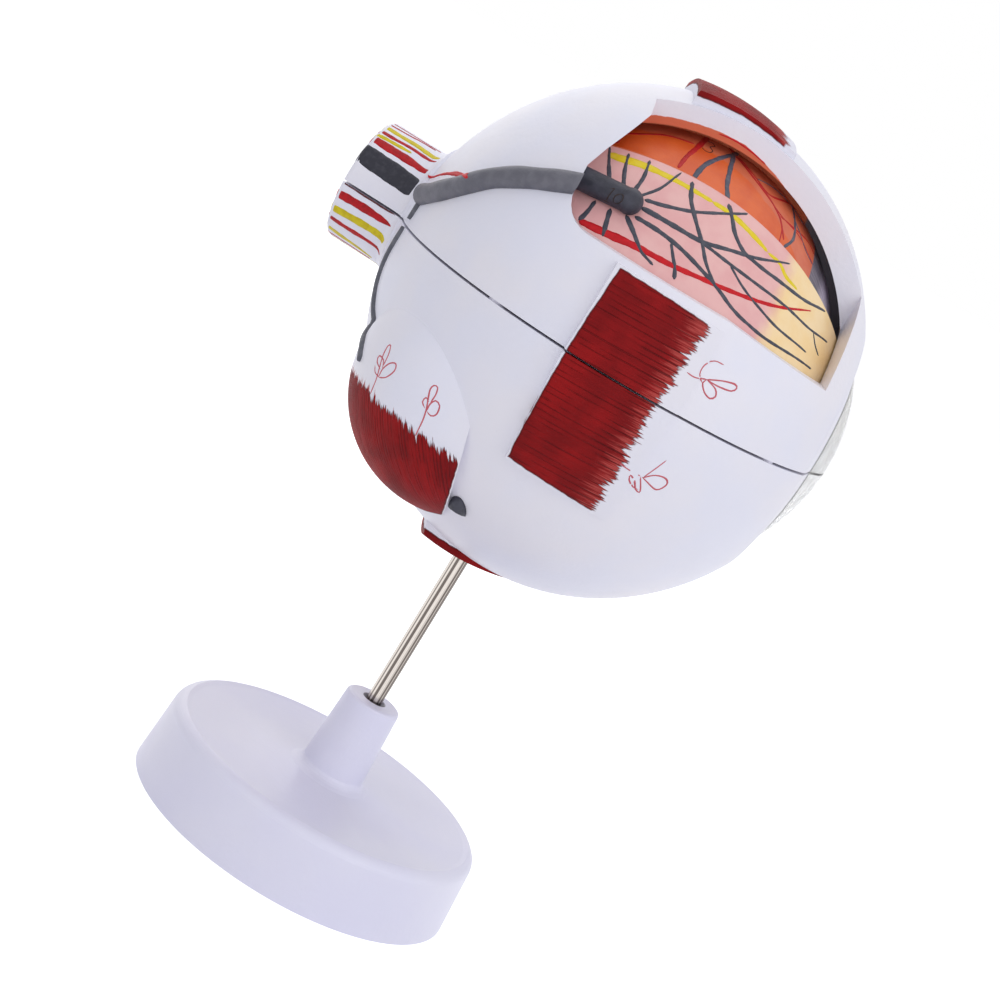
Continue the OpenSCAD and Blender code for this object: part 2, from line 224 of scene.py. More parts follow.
def white_paint(g):
    """The shell's bluish white with faint clouding, and its fine moulded grain."""
    cloud = g.step(g.noise(0.06, 4), 0.3, 0.7)
    base = g.mix(cloud, WHITE, WHITE_WARM)
    grain = g.noise(1.6, 5) * 0.7 + g.noise(0.35, 2) * 1.3
    return base, grain


def white_material(name, mark=None, tone=RED, **plain):
    g = Graph(name, **plain)
    base, grain = white_paint(g)
    speck = g.step(g.noise(2.2, 2), 0.73, 0.78)
    base = g.mix(speck * 0.12, base, colour(0.70, 0.70, 0.76))
    if mark:
        base = g.mix(mark(g), base, tone)
    return g.finish(base, 0.36 + g.noise(0.25, 3) * 0.16, grain, 0.05)


def grooves(g, across, period, width):
    """Dark lines at a regular distance across the fibres, each a little out of line."""
    at = across / period + (g.noise(0.5, 2, at=g.vector(across, 0, 0)) - 0.5) * 1.6
    return 1 - g.step((at.op("FRACT") - 0.5).op("ABSOLUTE"), width * 0.3 / period, width / period)


HAIR_MEAN = 3.8  # mean reach of the brush's hairs, in millimetres
GROOVE_WIDTH = 0.10


def hairs(g, across, along):
    """Reach of the brush's hairs at the front of the red: tufts with fine points."""
    tufts = g.noise(0.45, 2, at=g.vector(across, along * 0.03, 7)) * 2.4
    points = g.noise(2.3, 3, at=g.vector(across, along * 0.06, 3), rough=0.75) * 5.2
    return tufts + points


def muscle_material(name, fibres_of, hard_of, front_of, dry_of, period=0.62):
    """Dark red brushed over the white shell, with fibres, fine grooves, a darker outline and a ragged front.

    Each function takes the graph. fibres_of gives the places across and along the fibres, hard_of the
    distance inside the sharp edges, front_of the one behind the ragged edge, and dry_of how dry the brush is.
    """
    g = Graph(name, Specular_IOR_Level=0.12)
    base, grain = white_paint(g)
    across, along = fibres_of(g)
    fibre = g.vector(across, along * 0.035, 0)
    streak = g.noise(1.7, 4, at=fibre, rough=0.6)
    fine = g.noise(5.5, 3, at=fibre, rough=0.7)
    cloud = g.step(g.noise(0.16, 3), 0.32, 0.68)
    hard = hard_of(g) + (g.noise(0.6, 2) - 0.5) * 0.35
    front = front_of(g) - hairs(g, across, along) + HAIR_MEAN
    mask = g.step(hard, 0.0, 0.16) * g.step(front, 0.0, 0.45)
    tone = g.mix(cloud * 0.75 + g.step(streak, 0.35, 0.65) * 0.25, RED_DARK, RED)
    dry = dry_of(g)
    bare = g.step(fine * 0.75 + streak * 0.45 + dry * 0.30, 0.78, 0.98)
    tone = g.mix(dry * bare * 0.85, tone, RED_DRY)
    broken = g.step(g.noise(0.35, 3, at=g.vector(across * 2.2, along * 0.35, 11)), 0.42, 0.56)
    lines = grooves(g, across, period, GROOVE_WIDTH) * broken
    tone = g.mix(lines * (0.35 + dry * 0.45), tone, RED_LINE)
    outline = 1 - g.step(hard, 0.16, 0.5)
    tone = g.mix(outline * 0.6, tone, RED_LINE)
    base = g.mix(mask, base, tone)
    height = mask * (streak * 1.4 + fine * 1.2 - lines * 1.6 + 1.2) + grain * 0.4
    return g.finish(base, 0.50 + fine * 0.12, height, 0.09)


def lowest(first, *others):
    for other in others:
        first = first.op("MINIMUM", other)
    return first


# The painted field of a side muscle: its rear, upper and lower edges and its ragged front. All but the
# lower edge are slightly curved.
FIELD_REAR, FIELD_TOP, FIELD_UNDER, FIELD_FRONT, FIELD_CURVE = 10.7, 14.35, -18.35, -4.9, 0.0035


def side_muscle(name, shift):
    """Paint of a side muscle whose field lies further forward by shift."""
    def hard(g):
        y = g.y + shift
        rear = FIELD_REAR - g.z * g.z * FIELD_CURVE - y
        bulge = (y - 3.0) * (y - 3.0)
        top = FIELD_TOP - (10.6 - y) * 0.030 - bulge * FIELD_CURVE - g.z
        low = g.z - FIELD_UNDER + (9.6 - y) * 0.0506
        return lowest(rear, top, low)

    def front(g):
        return g.y + shift - FIELD_FRONT + (g.z + 2) * (g.z + 2) * FIELD_CURVE

    def dry(g):
        return g.step(2.2 - (g.y + shift), 0.0, 7.0)

    return muscle_material(name, lambda g: (g.z + g.y * 0.03, g.y), hard, front, dry, 0.95)


def strap_muscle(name, low, slope):
    """Red on the outside and the upper part of its side faces, which stay white next to the shell."""
    return muscle_material(
        name, lambda g: (g.x, g.y), lambda g: g.lift() - (low + slope * g.y),
        lambda g: g.y + 5.6, lambda g: g.step(1.5 - g.y, 0.0, 7.0), 0.8)


# The upper oblique muscle runs slantwise over the globe's top.
SLANT = math.radians(28)
SLANT_X, SLANT_Y = 31, 13


def slant_frame(g):
    """Across and along the upper oblique muscle."""
    x, y = g.x - SLANT_X, g.y - SLANT_Y
    across = x * math.cos(SLANT) + y * math.sin(SLANT)
    along = y * math.cos(SLANT) - x * math.sin(SLANT)
    return across, along


SWELL, SWELL_R = Vector((-15, 16.7, -17.4)), 18.9  # the ball of the lower oblique muscle
FIBRE_LEAN = math.radians(30)  # its fibres lean towards the nerve on their way up
CUT_Y, CUT_Z, CUT_LEAN = 15.8, -19, math.radians(16)  # a point of the ball's front cut, and the cut's lean


def swell_frame(g):
    """Round the ball and along it, in millimetres, with fibres as meridians."""
    x, y, z = g.x - SWELL.x, g.y - SWELL.y, g.z - SWELL.z
    side = y * math.cos(FIBRE_LEAN) - z * math.sin(FIBRE_LEAN)
    along = z * math.cos(FIBRE_LEAN) + y * math.sin(FIBRE_LEAN)
    return side.op("ARCTAN2", -x) * SWELL_R, along, (x * x + y * y + z * z).op("SQRT")


def swell_edge(g):
    """Height below the ragged upper edge of the red."""
    return -22.9 - g.z + (g.y - 24) * 0.07


def swell_field(g):
    """Distance inside the red's sharp edges: behind the ball's front cut and above its white tip."""
    behind = g.y - CUT_Y - (g.z - CUT_Z) * math.tan(CUT_LEAN)
    above = g.z + 34.6 + (g.y - 12) * 0.5
    return lowest(behind - 0.15, above)


def swell_hairs(g):
    """The hairs of the red that reach over the white shell beside the pad."""
    across, along, radius = swell_frame(g)
    front = g.step(swell_edge(g) - hairs(g, across, along) + HAIR_MEAN, 0.0, 0.45)
    on_ball = g.step(radius, SWELL_R - 0.15, SWELL_R - 0.05)
    return front * on_ball * g.step(swell_field(g), 0.0, 0.2)


def paint(name, tone, edge, rough=0.38, streaks=0.35):
    """Brush paint on a stroke: two tones, brush streaks and a soft sheen."""
    g = Graph(name, Specular_IOR_Level=0.25)
    v = g.noise(1.1, 4)
    fine = g.noise(5.0, 3)
    base = g.mix(g.step(v, 0.42, 0.68) * streaks, tone, edge)
    return g.finish(base, rough + fine * 0.15, fine, 0.03)


# ---------------------------------------------------------------- CAD nodes' materials
def wear(node, material):
    nodes[node].data.materials.clear()
    nodes[node].data.materials.append(material)


white = white_material("white_shell", Specular_IOR_Level=0.45)


def window_band(g):
    """The orange that reaches a little way up the inside of the window's upper wall."""
    limit = -2.35 + g.y.op("MINIMUM", 0.0) * 0.13 + (g.noise(0.8, 2) - 0.5) * 0.3
    flat = 1 - g.step((g.x - WINDOW_X).op("ABSOLUTE"), 0.04, 0.06)
    return flat * g.step(limit - g.lift(), 0.0, 0.12) * g.step(g.y, -17.0, -16.0)


band_orange = colour(0.80, 0.37, 0.22)
wear("sclera_upper", white_material("white_shell_upper", window_band, band_orange, Specular_IOR_Level=0.45))
wear("locating_pins", white)
wear("sclera_lower", white_material("white_shell_lower", swell_hairs, Specular_IOR_Level=0.45))
outer, inner = side_muscle("muscle_outer", 0), side_muscle("muscle_inner", 2)
for half in ("upper", "lower"):
    wear(f"lateral_rectus_{half}", outer)
    wear(f"medial_rectus_{half}", inner)
wear("superior_rectus", strap_muscle("muscle_top", 0.6, 0.053))
wear("inferior_rectus", strap_muscle("muscle_under", -1.0, 0.167))
wear("superior_oblique", muscle_material(
    "muscle_upper_oblique", slant_frame, lambda g: g.lift() - 0.4,
    lambda g: slant_frame(g)[1] + 5.5, lambda g: g.step(2 - slant_frame(g)[1], 0.0, 6.0)))
wear("inferior_oblique", muscle_material(
    "muscle_lower_oblique", lambda g: swell_frame(g)[:2], swell_field,
    swell_edge, lambda g: g.step(g.z + 27.5, 0.0, 6.0) * 0.5, 0.58))


def slate_material(name, tone, light):
    g = Graph(name, Specular_IOR_Level=0.3)
    v = g.noise(0.5, 4)
    base = g.mix(g.step(v, 0.35, 0.7) * 0.6, tone, light)
    brush = g.noise(3.2, 3, at=g.vector(g.x * 0.2, g.y * 0.2, g.z))
    base = g.mix(g.step(brush, 0.55, 0.8) * 0.25, base, light)
    return g.finish(base, 0.42 + g.noise(2.0, 3) * 0.14, g.noise(3.0, 4) + brush, 0.06)


slate = slate_material("vein_slate", SLATE, SLATE_LIGHT)
vein_grey = slate_material("vein_grey", colour(0.385, 0.385, 0.42), colour(0.47, 0.465, 0.50))
wear("vortex_vein_inner", slate)
wear("vortex_vein_lower", slate)
wear("vortex_vein_upper", vein_grey)


def choroid_material():
    """Pink shell that turns peach towards the front, with faint brush clouds."""
    g = Graph("choroid_pink")
    cloud = g.noise(0.22, 4)
    soft = g.step(cloud, 0.35, 0.65)
    pink = g.mix(soft, colour(0.895, 0.665, 0.66), colour(0.915, 0.715, 0.70))
    peach = g.mix(soft, colour(0.965, 0.835, 0.61), colour(0.975, 0.865, 0.68))
    front = g.step(-g.y - 12.6 + (g.noise(0.5, 3) - 0.5) * 2.4 + (g.z - 20) * 0.06, 0.0, 3.2)
    base = g.mix(front, pink, peach)
    # The shell's thickness takes the colour of what lies under it: the orange, or the dark ring in front.
    under = g.mix(g.step(g.y, -15.6, -15.0), colour(0.40, 0.38, 0.42), colour(0.86, 0.42, 0.20))
    base = g.mix(g.step(0.996 - g.share(PINK_AXES), 0.0, 0.002), base, under)
    return g.finish(base, 0.42 + g.noise(1.5, 3) * 0.12, g.noise(1.4, 4), 0.05)


def retina_material():
    """Two oranges: a paler band above, and a deeper one along the pink shell's edge that is painted shade in
    the crease there.
    """
    g = Graph("retina_orange")
    # The border between them runs round a point below the globe's centre.
    dy, dz = g.y - 2.3, g.z + 19.7
    ring = (dy * dy + dz * dz).op("SQRT")
    limit = 53.9 - (g.y - 4) * (g.y - 4) * 0.011
    upper = g.step(ring - limit + (g.noise(0.4, 3) - 0.5) * 0.7, -0.15, 0.15)
    cloud = g.step(g.noise(0.25, 4), 0.3, 0.7)
    # The deeper orange is painted shade in the crease along the pink shell's edge.
    crease_shade_orange = g.mix(cloud, colour(0.82, 0.32, 0.07), colour(0.865, 0.38, 0.11))
    pale = g.mix(cloud, colour(0.80, 0.38, 0.25), colour(0.85, 0.45, 0.31))
    base = g.mix(upper, crease_shade_orange, pale)
    return g.finish(base, 0.40 + g.noise(1.5, 3) * 0.12, g.noise(1.2, 4), 0.06)


def ciliary_material():
    """Slate folds painted lighter, and paler still towards the front, as painted light where the window's
    front wall shades them.
    """
    g = Graph("ciliary_slate")
    angle = g.z.op("ARCTAN2", g.x) * PINK_AXES.x
    fold = g.noise(1.6, 3, at=g.vector(angle, g.y * 0.08, 0))
    soft = g.step(fold, 0.35, 0.7)
    dark = g.mix(soft, colour(0.34, 0.32, 0.37), colour(0.48, 0.45, 0.49))
    # The paler front is painted light: the lamps barely reach this side of the ring.
    pale = g.mix(soft, colour(0.62, 0.58, 0.66), colour(0.80, 0.75, 0.82))
    base = g.mix(1 - g.step(g.y, -23.0, -20.5), dark, pale)
    return g.finish(base, 0.46 + fold * 0.1, fold, 0.12)


def iris_material():
    """Brown fibres that run to a dark pupil's edge, with a dark rim."""
    g = Graph("iris_brown")
    angle = g.z.op("ARCTAN2", g.x)
    radius = (g.x * g.x + g.z * g.z).op("SQRT")
    spoke = g.vector(angle.op("COSINE") * 30.0, angle.op("SINE") * 30.0, radius * 0.12)
    fibre = g.noise(1.0, 4, at=spoke, rough=0.7)
    base = g.mix(g.step(fibre, 0.35, 0.68), colour(0.24, 0.14, 0.08), colour(0.52, 0.35, 0.20))
    base = g.mix(g.step(radius, 14.5, 18.0), base, colour(0.13, 0.09, 0.07))
    base = g.mix(g.step(radius, 6.0, 7.6), colour(0.10, 0.06, 0.05), base)
    return g.finish(base, 0.35, fibre, 0.2)


def sheath_material():
    g = Graph("nerve_sheath_white")
    base, grain = white_paint(g)
    return g.finish(base, 0.40 + g.noise(0.8, 3) * 0.12, grain, 0.06)


def core_material():
    """The nerve's cut end: pale bundles, with one red and one dark vessel in the middle."""
    g = Graph("nerve_core")
    cell = g.tree.nodes.new("ShaderNodeTexVoronoi")
    cell.inputs["Scale"].default_value = 1.1
    g.tree.links.new(g.point, cell.inputs["Vector"])
    bundle = Value(g, cell.outputs["Distance"])
    base = g.mix(g.step(bundle, 0.1, 0.6), colour(0.93, 0.83, 0.52), colour(0.80, 0.62, 0.34))
    middle = NERVE_AXIS * NERVE_END
    for aside, tone in ((-1.3, RED), (1.3, SLATE)):
        a, b = g.x - (middle.x + aside), g.z - NERVE_RISE
        base = g.mix(g.step(1.0 - (a * a + b * b).op("SQRT"), 0.0, 0.15), base, tone)
    return g.finish(base, 0.45, bundle, 0.12)


def clear_material(name, tint, rough, ior, haze):
    """Clear plastic with a faint unevenness. The haze is the share of light that passes through it."""
    g = Graph(name, Transmission_Weight=haze, IOR=ior)
    cloud = g.noise(0.3, 3)
    base = g.mix(g.step(cloud, 0.3, 0.7) * 0.5, tint, colour(0.96, 0.97, 0.98))
    return g.finish(base, rough + cloud * 0.05, g.noise(0.5, 3), 0.02)


CORNEA_TINT, VITREOUS_TINT = colour(0.97, 0.97, 0.965), colour(0.88, 0.93, 0.95)
LENS_TINT = colour(0.90, 0.93, 0.94)
HALVES = {
    "choroid": choroid_material(), "retina": retina_material(), "ciliary_ring": ciliary_material(),
    "iris": iris_material(), "nerve_sheath": sheath_material(), "optic_nerve": core_material(),
    "cornea": clear_material("cornea_clear", CORNEA_TINT, 0.10, 1.30, 0.78),
}
for name, material in HALVES.items():
    for half in ("upper", "lower"):
        wear(f"{name}_{half}", material)
wear("vitreous_body", clear_material("vitreous_clear", VITREOUS_TINT, 0.04, 1.34, 0.95))
wear("lens", clear_material("lens_clear", LENS_TINT, 0.02, 1.42, 0.95))


def base_material():
    """Lilac white plastic, with painted shade where the rod goes into the post."""
    g = Graph(
        "base_plastic", origin=Vector((0, 0, 0)),
        Specular_IOR_Level=0.5, Coat_Weight=0.12, Coat_Roughness=0.3)
    cloud = g.step(g.noise(0.05, 3), 0.3, 0.7)
    base = g.mix(cloud, colour(0.885, 0.88, 0.955), colour(0.90, 0.895, 0.955))
    radius = (g.x * g.x + g.y * g.y).op("SQRT")
    # Painted shade in the countersink round the rod.
    socket = g.step(2.25 - radius, 0.0, 0.25) * g.step(g.z, 26.6, 26.9)
    base = g.mix(socket * 0.8, base, colour(0.30, 0.28, 0.33))
    return g.finish(base, 0.34 + g.noise(0.3, 3) * 0.14, g.noise(1.2, 4) + g.noise(0.2, 2) * 1.5, 0.05)


def rod_material():
    """Drawn and polished steel: broad light and dark bands along the rod are painted reflections, and finer
    dark marks are its die lines.
    """
    g = Graph("rod_steel", origin=Vector((0, 0, 0)), Metallic=1.0, Anisotropic=0.3)
    angle = g.y.op("ARCTAN2", g.x)

    def lines(size, height):
        return g.vector(angle.op("COSINE") * size, angle.op("SINE") * size, g.z * height)

    # Painted reflections: broad light and dark bands round the rod.
    band = g.noise(1.0, 2, at=lines(2.6, 0.002))
    mark = g.noise(1.0, 3, at=lines(9.0, 0.02))
    base = g.mix(g.step(band, 0.42, 0.58), colour(0.40, 0.37, 0.35), colour(0.80, 0.77, 0.74))
    base = g.mix(g.step(mark, 0.55, 0.72) * 0.5, base, colour(0.30, 0.28, 0.27))
    return g.finish(base, 0.16 + mark * 0.12, mark, 0.012)


wear("base", base_material())
wear("support_rod", rod_material())


# ---------------------------------------------------------------- painted strokes
replaced = {}  # pieces of the scene that stand for a CAD node


def surface(*names):
    """The solids' own surface, in millimetres, that a stroke is laid on."""
    verts, faces = [], []
    for name in names:
        mesh = replaced.get(name, nodes[name]).data
        start = len(verts)
        verts += [v.co * 1000 for v in mesh.vertices]
        faces += [[start + i for i in p.vertices] for p in mesh.polygons]
    return BVHTree.FromPolygons(verts, faces)


def land(tree, x, y):
    """Where the line of sight through the photograph's point meets the surface, or passes closest to it."""
    way = ray(x, y)
    hit = tree.ray_cast(eye, way)[0]
    if hit is not None:
        return hit
    near, pace, paces = 300, 2, 90  # the stretch of the line of sight that goes by the globe
    tries = (tree.find_nearest(eye + way * (near + pace * i)) for i in range(paces))
    return min(tries, key=lambda found: found[3])[0]


def spline(points, step=0.35):
    """A smooth line through the points, as close samples."""
    pts = [points[0] * 2 - points[1], *points, points[-1] * 2 - points[-2]]
    out = []
    for a, b, c, d in zip(pts, pts[1:], pts[2:], pts[3:]):
        n = max(2, int((c - b).length / step))
        for i in range(n):
            t = i / n
            square, cube = a * 2 - b * 5 + c * 4 - d, b * 3 - a - c * 3 + d
            out.append(0.5 * (b * 2 + (c - a) * t + square * t * t + cube * t ** 3))
    return out + [points[-1]]


def width_at(widths, t):
    x = t * (len(widths) - 1)
    i = min(int(x), len(widths) - 2)
    f = x - i
    return widths[i] * (1 - f) + widths[i + 1] * f


EDGE_LIFT, SUNK = 0.012, 0.04  # how high a stroke's edges stand and how deep its underside lies


def add_stroke(verts, faces, tree, line, widths, rng, proud=0.05, sides=4, blunt=False):
    """Adds a closed, slightly raised ribbon of paint along the line, snapped to the surface.

    Its ends taper like a brush's. If it is blunt, its first end stays wide.
    """
    spots = [tree.find_nearest(p) for p in spline(line)]
    n = len(spots)
    normals = [
        sum((spots[j][1] for j in range(max(0, i - 3), min(n, i + 4))), Vector()).normalized()
        for i in range(n)]
    start = len(verts)
    ring = 2 * (sides + 1)
    phase = rng.random() * 6
    length = sum((spots[i + 1][0] - spots[i][0]).length for i in range(n - 1))
    gone = 0.0
    for i in range(n):
        if i:
            gone += (spots[i][0] - spots[i - 1][0]).length
        t = gone / max(length, 1e-6)
        ahead = (spots[min(i + 1, n - 1)][0] - spots[max(i - 1, 0)][0]).normalized()
        across = ahead.cross(normals[i]).normalized()
        w = width_at(widths, t) / 2
        w += min(w, 0.45) * (0.09 * math.sin(gone * 1.7 + phase) + 0.05 * math.sin(gone * 4.3 + 2 * phase))
        end = length - gone if blunt else min(gone, length - gone)
        w *= min(1.0, 0.25 + 0.75 * math.sqrt(max(end, 0.0) / max(w * 1.2, 1e-6)))
        row = []
        for s in range(sides + 1):
            u = s / sides * 2 - 1
            q = tree.find_nearest(spots[i][0] + across * (u * w))
            row.append((q[0], u))
        verts.extend(p + normals[i] * (EDGE_LIFT + proud * (1 - u * u) ** 0.5) for p, u in row)
        verts.extend(p - normals[i] * SUNK for p, u in reversed(row))
    add_tube(faces, start, n, ring)
    faces.append(tuple(start + j for j in reversed(range(ring))))
    faces.append(tuple(start + (n - 1) * ring + j for j in range(ring)))


def add_tube(faces, start, rows, ring):
    """Adds the faces between rows of ring points each, the first of which is point start."""
    for i in range(rows - 1):
        a, b = start + i * ring, start + (i + 1) * ring
        faces.extend((a + j, a + (j + 1) % ring, b + (j + 1) % ring, b + j) for j in range(ring))


def build(name, verts, faces, material, body):
    mesh = bpy.data.meshes.new(name)
    mesh.from_pydata([v * MM for v in verts], [], faces)
    mesh.update()
    for p in mesh.polygons:
        p.use_smooth = True
    mesh.materials.append(material)
    obj = bpy.data.objects.new(name, mesh)
    bpy.context.scene.collection.objects.link(obj)
    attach(obj, body)
    return obj


red_paint = paint("paint_red", colour(0.79, 0.07, 0.12), colour(0.62, 0.03, 0.07))
nerve_red_paint = paint("paint_nerve_red", colour(0.72, 0.06, 0.10), colour(0.52, 0.03, 0.06), streaks=0.6)
seam_red_paint = paint("paint_seam_red", colour(0.33, 0.05, 0.08), colour(0.22, 0.03, 0.05))
deep_red_paint = paint("paint_deep_red", colour(0.72, 0.11, 0.13), colour(0.55, 0.05, 0.07))
slate_paint = paint("paint_slate", colour(0.255, 0.265, 0.31), colour(0.36, 0.365, 0.40), streaks=0.5)
grey_paint = paint("paint_grey", colour(0.36, 0.365, 0.40), colour(0.45, 0.45, 0.48), streaks=0.5)
dark_slate_paint = paint(
    "paint_dark_slate", colour(0.165, 0.165, 0.205), colour(0.25, 0.25, 0.285), streaks=0.5)
blue_slate_paint = paint("paint_blue_slate", colour(0.28, 0.30, 0.365), colour(0.42, 0.41, 0.44), streaks=0.6)
yellow_paint = paint("paint_yellow", colour(0.90, 0.80, 0.12), colour(0.93, 0.85, 0.36))
nerve_yellow_paint = paint(
    "paint_nerve_yellow", colour(0.84, 0.77, 0.10), colour(0.72, 0.60, 0.08), streaks=0.5)
pen_red = paint("pen_red", colour(0.76, 0.36, 0.40), colour(0.83, 0.50, 0.54))
pen_dark = paint("pen_dark", colour(0.17, 0.13, 0.13), colour(0.30, 0.22, 0.20))

# Crops of the photograph in which the strokes were read: left, top and enlargement. The first two
# were turned upright about the picture's middle, to a wider picture, before they were cut.
UPRIGHT_MIDDLE = 687.5
WINDOW_CROP, GLOBE_CROP, NERVE_CROP = (560, 210, 3.92), (370, 200, 2.6576), (315, 105, 5.556)

# Each group of strokes has its crop. Each stroke has its widths in millimetres and the points that it
# passes, in pixels of the crop.
STROKES = {
    "veins_on_pink": (WINDOW_CROP, [
        ((0.75, 0.35), "212,580 178,530 143,466"),
        ((0.75, 0.45), "270,572 240,510 221,450"),
        ((0.75, 0.45), "315,567 319,500 306,430"),
        ((0.6, 0.35), "343,572 398,500 436,406"),
        ((0.8, 0.6, 0.45), "368,572 450,550 560,510 668,452 742,408"),
        ((0.95, 0.8, 0.6, 0.3), "372,605 500,600 640,595 760,565 870,535 985,489"),
        ((0.6, 0.5, 0.3), "640,597 780,612 920,625 1060,640 1180,665 1270,675"),
        ((0.8, 0.65, 0.5, 0.3),
         "370,648 480,648 580,660 700,690 800,722 880,755 960,775 1080,790 1270,797"),
        ((0.4, 0.45, 0.3), "790,617 870,660 960,695 1080,730 1220,752"),
        ((0.8, 0.65, 0.4), "338,662 400,705 460,750 530,774"),
        ((0.5, 0.5, 0.75), "545,662 580,705 610,740 630,778"),
        ((0.8, 0.75), "272,672 288,730 303,780"),
        ((0.7, 0.75, 0.9), "206,676 201,730 190,776"),
        ((0.35, 0.3), "1205,672 1235,708 1268,738"),
        ((0.75, 0.7, 0.6, 0.45), "492,414 504,442 530,485 590,545 650,600 700,655 760,702 800,725"),
        ((0.8, 0.7, 0.6, 0.4), "658,414 695,450 740,500 800,540 850,553 950,565 1100,580 1200,576"),
    ]),
    "veins_on_orange": (WINDOW_CROP, [
        ((0.85, 0.85), "575,240 530,285 500,330 490,372 489,408 489,436"),
        ((0.8, 0.8), "575,240 590,290 612,350 634,384 648,410 656,440"),
        ((0.6, 0.95), "612,192 596,215 573,242"),
        ((0.35, 0.6, 0.45), "870,288 910,330 940,380 945,410 930,446"),
        ((0.25, 0.28, 0.2), "900,325 950,362 1010,412 1062,446"),
        ((0.2, 0.2, 0.2), "700,272 790,270 870,292 950,330"),
    ]),
    "arteries_on_orange": (WINDOW_CROP, [
        ((0.75, 0.65, 0.5), "165,392 230,355 310,312 420,284"),
        ((0.95, 1, 0.6), "468,210 440,280 421,340 415,397"),
        ((0.75, 0.7, 0.55, 0.4), "515,188 560,230 620,250 700,280 780,310 850,350 890,390 915,422"),
        ((0.45, 0.5, 0.35), "596,238 680,265 780,300 870,290 960,322 1058,378"),
        ((0.4, 0.4), "858,350 930,362 1000,378 1060,398"),
        ((0.4, 0.35, 0.3), "620,252 740,296 860,346 960,378 1060,442"),
        ((0.35, 0.45), "212,276 192,335 165,400 160,440"),
        ((0.2, 0.3, 0.2), "480,200 540,190 620,192 700,206"),
        ((0.2, 0.25, 0.2), "850,345 885,385 905,440"),
    ]),
    "arteries_on_wall": (WINDOW_CROP, [
        ((0.2, 0.3, 0.2), "480,200 540,190 620,192 700,206"),
    ]),
    "nerves_on_pink": (WINDOW_CROP, [
        ((1.5, 1.7, 1.2, 0.95, 0.8), "152,492 205,482 290,460 400,446 520,440 600,440"),
        ((0.8, 1, 1.05, 0.7), "600,440 690,443 780,462 885,494"),
        ((0.5, 0.8, 0.5), "890,497 950,508 1000,540 1062,560"),
    ]),
    "arteries_on_pink": (WINDOW_CROP, [
        ((1.1, 1.35, 0.95, 0.8, 0.7, 0.6, 0.45, 0.2),
         "192,776 300,764 450,745 600,735 750,715 850,700 950,680 1050,650 1152,603"),
    ]),
    "loops_upper": (WINDOW_CROP, [
        ((0.18, 0.22), "863,1062 900,1063 945,1045"),
        ((0.18, 0.2), "972,962 932,968 908,1000 910,1042 936,1066"),
        ((0.2, 0.28, 0.2), "945,1045 1000,1018 1048,1004 1062,1014 1050,1034 1000,1045 945,1047"),
        ((0.2, 0.28, 0.2), "945,1045 992,1060 1008,1085 993,1103 962,1093 938,1066 945,1047"),
    ]),
    "loops_lower": (GLOBE_CROP, [
        ((0.18, 0.18), "1062,1047 1130,1047"),
        ((0.15, 0.2), "1166,975 1152,1010 1138,1043"),
        ((0.2, 0.28, 0.2), "1135,1048 1162,1024 1190,1017 1200,1030 1184,1055 1150,1050 1135,1046"),
        ((0.2, 0.28, 0.2),
         "1130,1048 1146,1074 1149,1085 1136,1083 1122,1066 1106,1058 1108,1070 1126,1081 1142,1080"),
    ]),
    "loops_oblique": (GLOBE_CROP, [
        ((0.2, 0.25, 0.2), "403,1236 396,1195 386,1160 378,1130 376,1102 382,1098 389,1120 393,1152"),
        ((0.2, 0.25, 0.2), "391,1166 373,1152 370,1136 385,1140 396,1162"),
        ((0.2, 0.25, 0.2), "399,1186 415,1176 425,1150 419,1132 405,1138 396,1162 398,1186"),
        ((0.2, 0.2), "374,1164 384,1180 399,1184"),
        ((0.2, 0.25, 0.2),
         "563,1268 558,1222 550,1190 540,1165 532,1142 535,1128 546,1127 552,1146 551,1172"),
        ((0.2, 0.25, 0.2), "555,1196 570,1201 581,1190 576,1166 560,1160 552,1176 554,1196"),
        ((0.2, 0.2), "546,1192 532,1181 534,1166 546,1172"),
    ]),
    "artery_at_root": (NERVE_CROP, [
        ((0.5, 0.45, 0.6, 0.8, 1, 0.6), "628,388 660,396 700,383 745,378 800,388 845,402"),
        ((0.3, 0.35, 0.3), "735,380 795,372 848,380"),
    ]),
    "root_vein_upper": (NERVE_CROP, [
        ((1.9, 1.5, 1.25, 1.2), "612,505 580,545 550,592 524,634"),
    ]),
    "figures_on_orange": (WINDOW_CROP, [
        ((0.15, 0.2, 0.15), "455,249 480,244 493,251 479,261 496,270 488,282 466,284 452,279"),
    ]),
    "figures_on_vein": (WINDOW_CROP, [
        ((0.2, 0.2), "232,606 246,596 241,655"),
        ((0.2, 0.2), "228,658 254,655"),
        ((0.2, 0.2), "278,600 262,618 266,642 282,644 294,624 290,604 278,600"),
    ]),
}


def on_photo(crop, x, y):
    """The photograph's pixel, to a tenth, of a point of a crop."""
    left, top, enlargement = crop
    x, y = left + x / enlargement, top + y / enlargement
    if crop is not NERVE_CROP:
        u, v = x - UPRIGHT_MIDDLE, y - UPRIGHT_MIDDLE
        x = math.cos(ROLL) * u - math.sin(ROLL) * v + MIDDLE_PX
        y = math.sin(ROLL) * u + math.cos(ROLL) * v + MIDDLE_PX
    return round(x, 1), round(y, 1)


# The way of the raised vein over the upper half, from the globe's centre, and its section.
VEIN_PATH = (
    (-5.4, 39.4, 5.0), (-11.2, 38.3, 6.5), (-17.4, 35.4, 10.0), (-22.8, 30.8, 15.0), (-27.6, 25.0, 18.7),
    (-31.0, 19.2, 21.6))
VEIN_HALF_WIDTH, VEIN_HALF_HEIGHT, VEIN_RISE = 1.82, 1.72, 0.25


